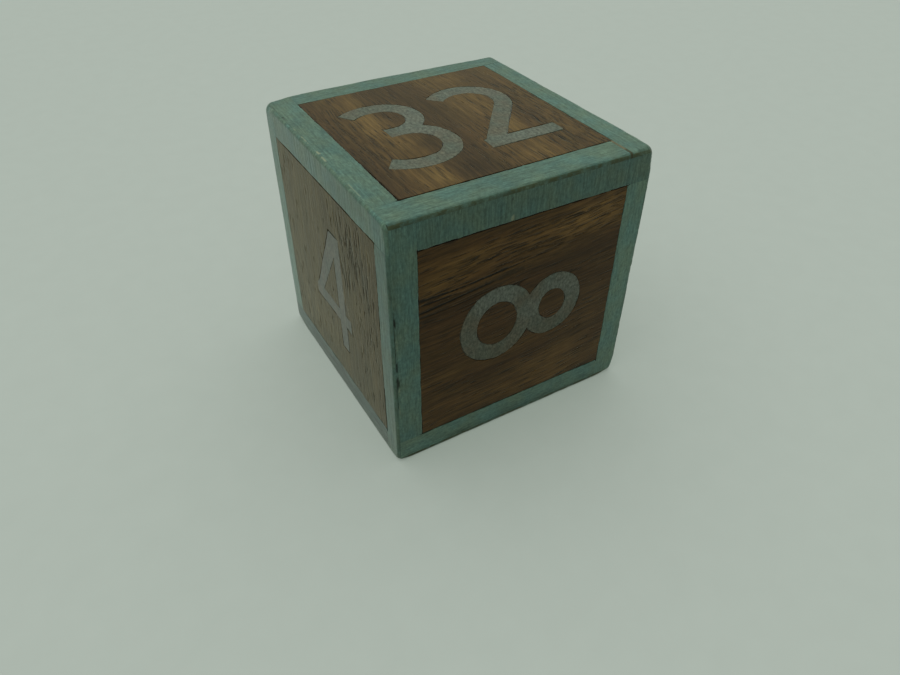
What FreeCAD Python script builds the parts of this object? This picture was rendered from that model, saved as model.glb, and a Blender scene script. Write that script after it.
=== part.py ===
"""Doubling cube for a backgammon board: a wooden block faced on all six sides with marquetry.

Frame: origin at the centre of the bottom face, +Z up, the face numbered 8 towards -Y, the face
numbered 4 towards -X and 32 on top. Millimetres.

Each face is a sheet of veneer made of loose pieces: a walnut panel, four dyed border strips round
it, the digits let into the panel, and the walnut counters that fill the closed bowls of the
digits. The border strips chase each other round the panel like a pinwheel. The front and back
sheets are the smallest, the top and bottom sheets cover their ends, and the left and right sheets
cover all four and are thinner. The twelve edges of the finished cube are sanded round.
"""

import FreeCAD, Part
import math
import os

from FreeCAD import Matrix, Placement, Vector

# Driving dimensions.
SIDE = 30.0             # finished cube, over the veneers
VENEER = 0.55           # thickness of the veneer on the top, bottom, front and back
THIN_VENEER = 0.3       # thickness of the veneer on the left and right
EDGE_RADIUS = 0.35      # sanded rounding of the twelve edges
BORDER = 3.0            # usual width of a border strip, from the cube's side
WIDE_BORDER = 3.5       # the strip of face 8 along the top edge
FRONT_BORDER = 3.25     # the strip of the top face along the front edge
BACK_BORDER = 2.85      # the strip of the top face along the back edge
NARROW_BORDER = 2.5     # the strip of face 4 beside the front edge
SHORT_STRIP_GAP = 0.3   # the front strip on top was cut this much short

DIGIT_HEIGHT = 15.0     # of a flat-ended digit
OVERSHOOT = 0.2         # a round stroke passes the flat ends by this much
STROKE = 2.0            # width of the lines of the digits
FINE_STROKE = 1.75      # the digit 4 is drawn a little finer
DIGIT_SPACE = 1.65      # between the two digits of a number
LARGE_BOWL = 3.65       # half-width of the middle line of the lower ring of 8, and of the ring of 6
SMALL_BOWL = 2.88       # half-width of the middle line of the upper ring of 8
SQUAT = 0.94            # height of those rings over their width
BLEND = 75.0            # direction, in degrees, where a bowl passes into its flatter end arc

HALF = SIDE / 2
CORE_WIDTH = SIDE - 2 * THIN_VENEER
CORE_HEIGHT = SIDE - 2 * VENEER
UP = Vector(0, 0, 1)


# Flat outlines, in the XY plane.

def towards(degrees, length):
    """A vector of that length, at an angle from +X."""
    angle = math.radians(degrees)
    return Vector(length * math.cos(angle), length * math.sin(angle), 0)


def polygon(*corners):
    points = [Vector(x, y, 0) for x, y in corners]
    return Part.Face(Part.makePolygon(points + points[:1]))


def rectangle(x0, y0, x1, y1):
    return polygon((x0, y0), (x1, y0), (x1, y1), (x0, y1))


def oval(centre, bowl, outward):
    """A face out to a distance from a ring's middle line, which is a little wider than high."""
    across, upright = bowl + outward, bowl * SQUAT + outward
    edge = Part.Ellipse(centre + Vector(across, 0, 0), centre + Vector(0, upright, 0), centre)
    return Part.Face(Part.Wire(edge.toShape()))


def arc_band(centre, radius, start, end, width=STROKE):
    """A band along an arc, whose middle line has that radius, between two angles in degrees."""
    inner, outer = radius - width / 2, radius + width / 2

    def arc(at_radius, first, last):
        angles = (first, (first + last) / 2, last)
        return Part.Arc(*[centre + towards(angle, at_radius) for angle in angles]).toShape()

    def cap(angle, first, last):
        return Part.makeLine(centre + towards(angle, first), centre + towards(angle, last))

    loop = [arc(outer, start, end), cap(end, outer, inner),
            arc(inner, end, start), cap(start, inner, outer)]
    return Part.Face(Part.Wire(loop))


def line_band(start, end, width=STROKE):
    """A straight band whose middle line runs between two points."""
    along = (end - start).normalize()
    side = Vector(-along.y, along.x, 0) * (width / 2)
    corners = [start - side, end - side, end + side, start + side]
    return polygon(*[(corner.x, corner.y) for corner in corners])


def joined(first, *others):
    return first.multiFuse(list(others)).removeSplitter()


# Digits. Each stands on y = 0 with its left end at x = 0, and is given with its width.

def digit_1():
    """A stem with a slanted flag."""
    flag_reach, flag_drop, flag_cut = 2.5, 2.3, 2.4
    width = flag_reach + STROKE
    stem = rectangle(flag_reach, 0, width, DIGIT_HEIGHT)
    flag = polygon(
        (flag_reach + STROKE / 2, DIGIT_HEIGHT),
        (0, DIGIT_HEIGHT - flag_drop),
        (0, DIGIT_HEIGHT - flag_drop - flag_cut),
        (flag_reach + STROKE / 2, DIGIT_HEIGHT - flag_cut),
    )
    return joined(stem, flag), width


def digit_2():
    """A bowl that opens to the left, a straight diagonal and a flat base."""
    width, bowl_inset, slant = 8.6, 0.2, 38.0
    bowl, end_arc, tip = 3.6, 4.27, 135.0
    bowl_centre = Vector(width - bowl_inset - STROKE / 2 - bowl,
                         DIGIT_HEIGHT + OVERSHOOT - STROKE / 2 - bowl, 0)
    end_arc_centre = bowl_centre + towards(BLEND, bowl - end_arc)
    shoulder = bowl_centre + towards(-slant, bowl)
    reach = (shoulder.y + STROKE) / math.cos(math.radians(slant))
    diagonal = line_band(shoulder, shoulder + towards(-90 - slant, reach))
    diagonal = diagonal.common(rectangle(0, 0, width, DIGIT_HEIGHT)).Faces[0]
    return joined(
        arc_band(end_arc_centre, end_arc, BLEND, tip),
        arc_band(bowl_centre, bowl, -slant, BLEND),
        diagonal,
        rectangle(0, 0, width, STROKE),
    ), width


def digit_3():
    """Two bowls that open to the left and share a short bar between them."""
    width, bar_left, bowl_offset = 9.15, 3.15, 0.1
    top_bowl, top_end_arc, top_tip = 3.1, 5.3, 123.5
    low_bowl, low_end_arc, low_tip = 3.6, 5.9, 127.0
    low_centre = Vector(width - STROKE / 2 - low_bowl, low_bowl + STROKE / 2 - OVERSHOOT, 0)
    bar_height = low_centre.y + low_bowl
    top_centre = Vector(low_centre.x - bowl_offset, bar_height + top_bowl, 0)
    top_end_centre = top_centre + towards(BLEND, top_bowl - top_end_arc)
    low_end_centre = low_centre + towards(-BLEND, low_bowl - low_end_arc)
    return joined(
        arc_band(top_end_centre, top_end_arc, BLEND, top_tip),
        arc_band(top_centre, top_bowl, -90, BLEND),
        rectangle(bar_left, bar_height - STROKE / 2, low_centre.x, bar_height + STROKE / 2),
        arc_band(low_centre, low_bowl, -BLEND, 90),
        arc_band(low_end_centre, low_end_arc, -low_tip, -BLEND),
    ), width


def digit_4():
    """A closed triangle on a bar, with the stem running down past it."""
    width, stem_left, bar_low = 9.3, 6.2, 3.7
    apex_left, nose = 5.45, 0.95
    hole_left, hole_top = 2.1, 12.0
    stem_right = stem_left + FINE_STROKE
    bar_high = bar_low + FINE_STROKE
    outline = joined(
        polygon((apex_left, DIGIT_HEIGHT), (0, bar_low + nose), (0, bar_low),
                (stem_right, bar_low), (stem_right, DIGIT_HEIGHT)),
        rectangle(stem_left, 0, stem_right, DIGIT_HEIGHT),
        rectangle(0, bar_low, width, bar_high),
    )
    hole = polygon((hole_left, bar_high), (stem_left, bar_high), (stem_left, hole_top))
    return outline.cut(hole), width


def digit_6():
    """A ring with a long arc rising from its left side."""
    width, rise, rise_end = 2 * LARGE_BOWL + STROKE, 12.4, 128.0
    ring_centre = Vector(width / 2, LARGE_BOWL * SQUAT + STROKE / 2 - OVERSHOOT, 0)
    arc_centre = ring_centre + Vector(rise - LARGE_BOWL, 0, 0)
    body = joined(oval(ring_centre, LARGE_BOWL, STROKE / 2),
                  arc_band(arc_centre, rise, rise_end, 180))
    return body.cut(oval(ring_centre, LARGE_BOWL, -STROKE / 2)), width


def digit_8():
    """Two rings that run into each other, the larger one below."""
    width, ring_distance = 2 * LARGE_BOWL + STROKE, 6.92
    low_centre = Vector(width / 2, LARGE_BOWL * SQUAT + STROKE / 2 - OVERSHOOT, 0)
    high_centre = low_centre + Vector(0, ring_distance, 0)
    rings = [(low_centre, LARGE_BOWL), (high_centre, SMALL_BOWL)]
    body = joined(*[oval(centre, bowl, STROKE / 2) for centre, bowl in rings])
    return body.cut([oval(centre, bowl, -STROKE / 2) for centre, bowl in rings]), width


DIGITS = {"1": digit_1, "2": digit_2, "3": digit_3, "4": digit_4, "6": digit_6, "8": digit_8}


def number_outlines(number, turn, nudge):
    """The digits of a number as (digit, face), centred on the panel, turned about its middle by
    that many degrees and then moved by the nudge."""
    drawn = [(digit, *DIGITS[digit]()) for digit in number]
    left = -(sum(width for _, _, width in drawn) + DIGIT_SPACE * (len(drawn) - 1)) / 2
    outlines = []
    for digit, shape, width in drawn:
        assert len(shape.Faces) == 1, f"the outline of {digit} is in pieces"
        face = shape.Faces[0]
        face.translate(Vector(left, -DIGIT_HEIGHT / 2, 0))
        face.rotate(Vector(0, 0, 0), UP, turn)
        face.translate(Vector(*nudge, 0))
        outlines.append((digit, face))
        left += width + DIGIT_SPACE
    return outlines


# The six faces.

class Side:
    """One face of the cube. right and up are its own directions as seen from outside. covers says
    whether its sheet of veneer covers its neighbours' ends, to left and right and above and below:
    a thin sheet covers both. borders gives the strips that aren't of the usual width."""

    def __init__(self, number, right, up, covers, borders=None, turn=0, nudge=(0, 0)):
        self.number = number
        self.right, self.up = Vector(*right), Vector(*up)
        self.out = self.right.cross(self.up)
        self.half_across = HALF if covers[0] else CORE_WIDTH / 2
        self.half_up = HALF if covers[1] else CORE_HEIGHT / 2
        self.thickness = THIN_VENEER if all(covers) else VENEER
        self.borders = {"left": BORDER, "top": BORDER, "right": BORDER, "bottom": BORDER}
        self.borders.update(borders or {})
        self.outlines = number_outlines(number, turn, nudge)

    def window(self):
        """The opening inside the four strips: x0, y0, x1, y1."""
        return (self.borders["left"] - HALF, self.borders["bottom"] - HALF,
                HALF - self.borders["right"], HALF - self.borders["top"])

    def strips(self):
        """Each strip butts against the next one at one end and runs to the edge at the other."""
        x0, y0, x1, y1 = self.window()
        across, up = self.half_across, self.half_up
        gap = SHORT_STRIP_GAP if self.number == "32" else 0
        return {
            "left": rectangle(-across, y0, x0, up),
            "top": rectangle(x0, y1, across, up),
            "right": rectangle(x1, -up, across, y1),
            "bottom": rectangle(-across, -up, x1 - gap, y0),
        }

    def pieces(self):
        """Every piece of this sheet as (node, outline)."""
        for edge, outline in self.strips().items():
            yield f"strip_{self.number}_{edge}", outline
        panel = rectangle(*self.window())
        for digit, face in self.outlines:
            rim, *holes = sorted(face.Wires, key=lambda wire: -wire.BoundBox.DiagonalLength)
            panel = panel.cut(Part.Face(rim))
            yield f"digit_{digit}_of_{self.number}", face
            sizes = ("", "") if len(holes) == 1 else ("_large", "_small")
            for size, hole in zip(sizes, holes):
                yield f"counter_{digit}_of_{self.number}{size}", Part.Face(hole)
        yield f"panel_{self.number}", panel

    def placed(self, outline):
        """The outline as a piece of veneer on this face."""
        right, up, out = self.right, self.up, self.out
        origin = Vector(0, 0, HALF) + out * HALF
        piece = outline.extrude(UP * -self.thickness)
        piece.Placement = Placement(Matrix(
            right.x, up.x, out.x, origin.x,
            right.y, up.y, out.y, origin.y,
            right.z, up.z, out.z, origin.z,
            0, 0, 0, 1,
        ))
        return piece


SIDES = [
    Side("32", (1, 0, 0), (0, 1, 0), (False, True), {"top": BACK_BORDER, "bottom": FRONT_BORDER},
         nudge=(-0.25, 0.25)),
    Side("64", (1, 0, 0), (0, -1, 0), (False, True)),
    Side("4", (0, -1, 0), (0, 0, 1), (True, True), {"right": NARROW_BORDER}, nudge=(0.3, -0.3)),
    Side("16", (0, 1, 0), (0, 0, 1), (True, True), turn=90),
    Side("8", (1, 0, 0), (0, 0, 1), (False, False), {"top": WIDE_BORDER}, -90, (0.28, -0.27)),
    Side("2", (-1, 0, 0), (0, 0, 1), (False, False)),
]


def block(wide, deep, high):
    """A plain box about the middle of the finished cube."""
    return Part.makeBox(wide, deep, high, Vector(-wide / 2, -deep / 2, HALF - high / 2))


def filler(top):
    """Putty in the gap at the end of the short strip."""
    _, y0, x1, _ = top.window()
    return top.placed(rectangle(x1 - SHORT_STRIP_GAP, -HALF, x1, y0))


def model():
    """Every node's solid, by name."""
    finished = block(SIDE, SIDE, SIDE)
    finished = finished.makeFillet(EDGE_RADIUS, finished.Edges)
    core = block(CORE_WIDTH, CORE_HEIGHT, CORE_HEIGHT)
    nodes = {"core_block": core, "joint_filler": filler(SIDES[0]).common(finished)}
    for side in SIDES:
        for name, outline in side.pieces():
            nodes[name] = side.placed(outline).common(finished)
    return nodes


os.makedirs("parts", exist_ok=True)
for name, shape in model().items():
    assert len(shape.Solids) == 1 and shape.isValid(), name
    shape.Solids[0].exportStep(f"parts/{name}.step")
    print(f"{name:28s} {shape.Volume:10.3f} mm3")
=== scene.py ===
"""Looks of the doubling cube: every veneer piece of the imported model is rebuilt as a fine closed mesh.

The outline of each piece is read from its CAD node, so the pieces stay where the model has them. On
that outline a dense skin is laid with eased edges, open pores, fibre relief, worn arrises and small
chips, and each kind of veneer has a procedural material. Lengths are in millimetres unless a name
says otherwise, and MM turns them into metres.
"""
import math

import bpy
import numpy as np
from mathutils import Matrix, Vector
from mathutils.geometry import delaunay_2d_cdt
from mathutils.kdtree import KDTree


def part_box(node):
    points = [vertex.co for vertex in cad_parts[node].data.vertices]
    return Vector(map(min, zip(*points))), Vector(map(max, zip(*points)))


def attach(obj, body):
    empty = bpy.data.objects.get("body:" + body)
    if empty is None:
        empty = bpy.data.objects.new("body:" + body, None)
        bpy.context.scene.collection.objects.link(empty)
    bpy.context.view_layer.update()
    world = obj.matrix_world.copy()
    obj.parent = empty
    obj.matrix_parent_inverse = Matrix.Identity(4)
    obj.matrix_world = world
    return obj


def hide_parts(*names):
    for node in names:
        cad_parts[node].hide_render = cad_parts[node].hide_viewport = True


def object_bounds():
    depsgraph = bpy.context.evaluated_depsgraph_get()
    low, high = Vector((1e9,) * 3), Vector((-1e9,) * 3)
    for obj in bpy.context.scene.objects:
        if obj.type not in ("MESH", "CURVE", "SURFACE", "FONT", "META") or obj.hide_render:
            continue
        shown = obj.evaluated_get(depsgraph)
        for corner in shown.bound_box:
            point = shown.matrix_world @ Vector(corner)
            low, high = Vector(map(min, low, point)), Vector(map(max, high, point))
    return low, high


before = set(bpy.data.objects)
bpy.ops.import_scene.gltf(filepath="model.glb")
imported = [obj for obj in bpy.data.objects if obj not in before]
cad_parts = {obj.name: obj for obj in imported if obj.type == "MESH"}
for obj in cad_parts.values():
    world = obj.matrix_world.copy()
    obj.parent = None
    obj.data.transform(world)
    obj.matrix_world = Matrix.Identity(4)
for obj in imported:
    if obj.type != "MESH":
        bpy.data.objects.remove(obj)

MM = 0.001


def in_mm(corners):
    return [np.array(corner) / MM for corner in corners]


cad_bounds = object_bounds()
LOW, HIGH = in_mm(cad_bounds)
CENTRE = (LOW + HIGH) / 2
HALF = (HIGH[2] - LOW[2]) / 2

ARRIS_RADIUS = 0.35     # least rounding of the cube's edges, as in the model
ARRIS_WEAR = 0.14       # how much more the edges are worn in places
MOST_RADIUS = 1.0       # rounder than this, a corner would show the core
ALMOST = 0.01           # a piece that ends this close to the cube's edge was sanded with it
ON_EDGE = 0.001         # a point this close to a face or an edge of the cube lies on it
ON_JOINT = 0.01         # a point this close to the box round a panel belongs to its joint
STRAIGHT = 0.0005       # a point this close to the line between its neighbours is no corner
TIGHT = 0.003           # half-width of a joint that closes well
LOOSE = 0.035           # how much wider a joint round a panel or digit gets in places
GAP_REACH = 0.35        # a gap widens the joints that lie this close to it
EASE = 0.05             # easing of the edges along a loose joint
LEAST_EASE = 0.008      # easing of the edges along a tight joint
WALNUT_LEVEL = -0.01    # the walnut lies this far below the finished face, on average
DYED_LEVEL = -0.012     # the digits and strips this far
PUTTY_LEVEL = -0.015    # and the putty this far
PORE_DEPTH = 0.05       # depth of the deepest pores
FIBRE_DEPTH = 0.004     # how far the walnut's fibres rise and sink
WALNUT_SWELL = 0.012    # how far its face rises and sinks over some millimetres
DYED_SWELL = 0.008      # and that of the dyed veneers
RIM_STEP = 0.1          # spacing of the points along an outline
WALNUT_STEPS = 0.055, 0.22      # spacing of the points of a walnut face, across the grain and along it
CLEARANCE = 0.04        # the points of a face keep this far from those of its eased edge
UNEVEN = 0.12           # how far the points of a face stray from an even lattice, in its steps
WALL_ROWS = 5           # rows of faces down the side of a piece
CREASE = 38.0           # an edge of a mesh that turns more than this, in degrees, looks sharp
SMOOTH_TURN = 20.0      # corners of an outline that turn less than this, in degrees, are curves


# Noise on a lattice of hashed values, the same in every run.

def lattice(ix, iy, seed):
    mixed = (ix * 374761393 + iy * 668265263 + seed * 974634777) & 0xFFFFFFFF
    mixed = ((mixed ^ (mixed >> 13)) * 1274126177) & 0xFFFFFFFF
    return ((mixed ^ (mixed >> 16)) & 0xFFFF) / 32767.5 - 1


def noise(x, y, seed):
    """Smooth noise from -1 to 1, with features about one unit wide."""
    ix, iy = np.floor(x).astype(np.int64), np.floor(y).astype(np.int64)
    fx, fy = x - ix, y - iy
    fx, fy = fx * fx * (3 - 2 * fx), fy * fy * (3 - 2 * fy)
    low = lattice(ix, iy, seed) * (1 - fx) + lattice(ix + 1, iy, seed) * fx
    high = lattice(ix, iy + 1, seed) * (1 - fx) + lattice(ix + 1, iy + 1, seed) * fx
    return low * (1 - fy) + high * fy


def smoothstep(low, high, value):
    t = np.clip((value - low) / (high - low), 0, 1)
    return t * t * (3 - 2 * t)


# The six faces of the cube.

class Side:
    """One face of the cube. Its flat points are (across, up) from its middle, as seen from
    outside, and heights are measured outwards from it."""

    def __init__(self, number, right, up):
        self.right, self.up = np.array(right, float), np.array(up, float)
        self.out = np.cross(self.right, self.up)
        self.middle = CENTRE + self.out * HALF
        self.thickness = np.ptp(self.height(np.array(in_mm(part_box(f"panel_{number}")))))

    def flat(self, points):
        local = points - self.middle
        return np.stack([local @ self.right, local @ self.up], 1)

    def height(self, points):
        return (points - self.middle) @ self.out

    def solid(self, flat, height):
        spread = flat[:, :1] * self.right + flat[:, 1:] * self.up
        return self.middle + spread + np.reshape(height, (-1, 1)) * self.out


SIDES = {
    "32": Side("32", (1, 0, 0), (0, 1, 0)),
    "64": Side("64", (1, 0, 0), (0, -1, 0)),
    "4": Side("4", (0, -1, 0), (0, 0, 1)),
    "16": Side("16", (0, 1, 0), (0, 0, 1)),
    "8": Side("8", (1, 0, 0), (0, 0, 1)),
    "2": Side("2", (-1, 0, 0), (0, 0, 1)),
}


# Outlines, as loops of flat points with the piece on their left.

def flat_box(node, side):
    """The lowest and highest flat corner of a CAD node."""
    corners = side.flat(np.array(in_mm(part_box(node))))
    return corners.min(0), corners.max(0)


def box_outline(node, side):
    """The loop round a straight piece, out to the cube's own edges where it all but meets them."""
    low, high = flat_box(node, side)
    (x0, y0) = np.where(low < ALMOST - HALF, -HALF, low)
    (x1, y1) = np.where(high > HALF - ALMOST, HALF, high)
    return [np.array([(x0, y0), (x1, y0), (x1, y1), (x0, y1)])]


def face_outline(node, side):
    """The loops round the outer face of a CAD node."""
    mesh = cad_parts[node].data
    mesh.calc_loop_triangles()
    points = np.array([vertex.co for vertex in mesh.vertices], float) / MM
    on_face = side.height(points) > -ON_EDGE
    keys = [tuple(key) for key in np.round(side.flat(points), 4)]
    following = {}
    for triangle in mesh.loop_triangles:
        corners = list(triangle.vertices)
        if all(on_face[corner] for corner in corners):
            for start, end in zip(corners, corners[1:] + corners[:1]):
                following[keys[start], keys[end]] = True
    rim = {start: end for start, end in following if (end, start) not in following}
    loops = []
    while rim:
        start, end = rim.popitem()
        loop = [start]
        while end != loop[0]:
            loop.append(end)
            end = rim.pop(end)
        loops.append(straightened(np.array(loop)))
    return loops


def straightened(loop):
    """The loop without the points that lie on a straight run."""
    before, after = np.roll(loop, 1, 0), np.roll(loop, -1, 0)
    turn = np.cross(loop - before, after - loop)
    reach = np.linalg.norm(after - before, axis=1)
    return loop[np.abs(turn) / reach > STRAIGHT]


def resampled(loop, step):
    """Points along the loop, no further apart than the step, with the curves made smooth."""
    before, after = np.roll(loop, 1, 0), np.roll(loop, -1, 0)
    ahead, behind = after - loop, loop - before
    turn = np.degrees(np.arctan2(np.cross(behind, ahead), (behind * ahead).sum(1)))
    smooth = np.abs(turn) < SMOOTH_TURN
    chord = (after - before) / np.linalg.norm(after - before, axis=1)[:, None]
    points = []
    for i, start in enumerate(loop):
        j = (i + 1) % len(loop)
        run = loop[j] - start
        length = np.linalg.norm(run)
        leave = chord[i] * length if smooth[i] else run
        arrive = chord[j] * length if smooth[j] else run
        count = max(1, math.ceil(length / step))
        t = np.arange(count)[:, None] / count
        points.append((2 * t**3 - 3 * t**2 + 1) * start + (t**3 - 2 * t**2 + t) * leave
                      + (3 * t**2 - 2 * t**3) * loop[j] + (t**3 - t**2) * arrive)
    return np.concatenate(points)


def moved_in(loop, distance):
    """The loop moved into the piece, by a distance that may differ from point to point."""
    before, after = np.roll(loop, 1, 0), np.roll(loop, -1, 0)
    behind = (loop - before) / np.linalg.norm(loop - before, axis=1)[:, None]
    ahead = (after - loop) / np.linalg.norm(after - loop, axis=1)[:, None]
    normals = [np.stack([-run[:, 1], run[:, 0]], 1) for run in (behind, ahead)]
    middle = normals[0] + normals[1]
    middle /= np.maximum((middle * normals[0]).sum(1), 0.5)[:, None]
    return loop + middle * np.reshape(distance, (-1, 1))


def inside(points, loops):
    """Which points lie inside the outer loop and outside the holes."""
    found = np.zeros(len(points), bool)
    x, y = points[:, 0], points[:, 1]
    for loop in loops:
        for (x0, y0), (x1, y1) in zip(loop, np.roll(loop, -1, 0)):
            if y0 != y1:
                crosses = (y0 > y) != (y1 > y)
                found ^= crosses & (x < (x1 - x0) * (y - y0) / (y1 - y0) + x0)
    return found


# Joints between the pieces.

class Gap:
    """A straight stretch along which the joints are open wider than usual."""

    def __init__(self, start, end, width):
        self.start, self.run, self.width = np.array(start), np.subtract(end, start), width

    def spread(self, flat):
        """How much of the gap's width each point has."""
        share = np.clip((flat - self.start) @ self.run / (self.run @ self.run), 0, 1)
        away = np.linalg.norm(flat - self.start - share[:, None] * self.run, axis=1)
        rough = np.clip(0.6 + 0.55 * noise(flat[:, 0] * 1.7, flat[:, 1] * 1.7, 91), 0, 1)
        return self.width * rough * smoothstep(GAP_REACH, GAP_REACH / 3, away)


class Joints:
    """The joints of one face: loose round its panel and digits, tight between strips, and open
    along its gaps."""

    def __init__(self, panel_box, gaps):
        self.low, self.high = panel_box
        self.gaps = gaps

    def width(self, loop, seed):
        """How far the rim of a piece lies inside its outline."""
        by_panel = ((loop > self.low - ON_JOINT) & (loop < self.high + ON_JOINT)).all(1)
        wander = noise(loop[:, 0] * 0.7, loop[:, 1] * 0.7, seed) * 0.8
        fine = noise(loop[:, 0] * 3.3, loop[:, 1] * 3.3, seed + 1) * 0.4
        width = TIGHT + by_panel * LOOSE * np.clip(0.15 + wander + fine, 0, 1)
        for gap in self.gaps:
            width = width + gap.spread(loop)
        return width


# The skin of a piece.

def triangles(points, loops):
    """Triangles that fill the loops, given as lists of point numbers. The loops' points come first,
    and every other point lies inside them."""
    edges = [(loop[i - 1], loop[i]) for loop in loops for i in range(len(loop))]
    corners, _, faces, _, _, _ = delaunay_2d_cdt([Vector(point) for point in points], edges, [], 0,
                                                 1e-9, False)
    assert len(corners) == len(points), "two points of a skin coincide"
    faces = np.array(faces)
    on_rim = (faces < len(edges)).all(1)
    keep = ~on_rim
    owner = {}
    for number in np.flatnonzero(on_rim):
        for edge in directed_edges(faces[number:number + 1]):
            owner[edge] = number
    # Spreads from the loops and the kept triangles to the ones between, but never over a loop.
    walls = set(edges)
    waiting = edges + [edge[::-1] for edge in directed_edges(faces[keep]) if edge not in walls]
    while waiting:
        number = owner.get(waiting.pop())
        if number is not None and not keep[number]:
            keep[number] = True
            own_edges = directed_edges(faces[number:number + 1])
            waiting += [edge[::-1] for edge in own_edges if edge not in walls]
    return faces[keep]


def directed_edges(faces):
    """The edges of triangles, as (start, end), in the direction in which each triangle runs."""
    runs = np.concatenate([faces[:, [0, 1]], faces[:, [1, 2]], faces[:, [2, 0]]])
    return [tuple(run) for run in runs.tolist()]


class Wear:
    """A corner or a stretch of an arris that is rounder than the rest, from one end to the other.
    Places are in halves of the cube's side from its middle."""

    def __init__(self, start, end, first, last, reach):
        self.start, self.run = HALF * np.array(start), HALF * np.subtract(end, start)
        self.first, self.last, self.reach = first, last, reach

    def extra(self, local):
        """How much is added to the radius at each point."""
        share = np.clip((local - self.start) @ self.run / max(self.run @ self.run, 1e-9), 0, 1)
        away = np.linalg.norm(local - self.start - share[:, None] * self.run, axis=1)
        return (self.first + (self.last - self.first) * share) * smoothstep(self.reach, 0, away)


WORN = [
    Wear((-1, 1, -1), (-1, 1, 1), 0.6, 0.6, 4.0),
    Wear((1, -1, 1), (1, 1, 1), 0.3, 0.65, 4.0),
    Wear((-0.1, 1, 1), (1, 1, 1), 0.0, 0.75, 4.0),
    Wear((1, -1, 1), (1, -1, 1), 0.25, 0.25, 3.0),
    Wear((1, -1, -1), (1, -1, -1), 0.45, 0.45, 3.0),
    Wear((-1, -1, -1), (-1, -1, -1), 0.3, 0.3, 1.8),
    Wear((-1, 1, 1), (-1, 1, 1), 0.3, 0.3, 3.0),
    Wear((1, 1, -1), (1, 1, 1), 0.3, 0.4, 3.0),
    Wear((-1, -1, 1), (-1, -1, 1), 0.25, 0.25, 2.0),
]


def rounded(points):
    """Points outside the worn cube brought in to its surface, with how near an arris they are."""
    local = points - CENTRE
    size = np.sort(np.abs(local), 1)
    along = local.sum(1) * 0.6
    wander = noise(along, size[:, 0] * 0.1, 5) * 0.6 + noise(along * 3.1, size[:, 0] * 0.3, 6) * 0.4
    radius = ARRIS_RADIUS + ARRIS_WEAR * np.maximum(wander, 0) + sum(worn.extra(local) for worn in WORN)
    radius = np.minimum(radius, MOST_RADIUS)
    core = np.clip(local, -(HALF - radius)[:, None], (HALF - radius)[:, None])
    beyond = local - core
    reach = np.linalg.norm(beyond, axis=1)
    shrink = np.where(reach > radius, radius / np.maximum(reach, 1e-9), 1)
    wear = smoothstep(radius * 1.1, radius * 0.2, HALF - size[:, 1])
    return CENTRE + core + beyond * shrink[:, None], wear


def lattice_points(loops, steps, seed):
    """A slightly uneven lattice of points over the box round the loops."""
    low = np.min([loop.min(0) for loop in loops], 0)
    high = np.max([loop.max(0) for loop in loops], 0)
    counts = np.maximum(np.ceil((high - low) / steps).astype(int), 1)
    x, y = np.meshgrid(*[np.linspace(a, b, n + 1) for a, b, n in zip(low, high, counts)])
    x, y = x.ravel(), y.ravel()
    wobble = np.stack([noise(x * 37.7, y * 41.3, seed), noise(x * 43.1, y * 39.9, seed + 1)], 1)
    return np.stack([x, y], 1) + wobble * np.array(steps) * UNEVEN


def on_arris(flat):
    """Which flat points lie on the cube's own edges."""
    return (np.abs(flat) > HALF - ON_EDGE).any(1)


def held(nominal, moved):
    """The moved points, but those on the cube's own edges stay there: only joints have a gap."""
    return np.where(np.abs(nominal) > HALF - ON_EDGE, nominal, moved)


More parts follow.
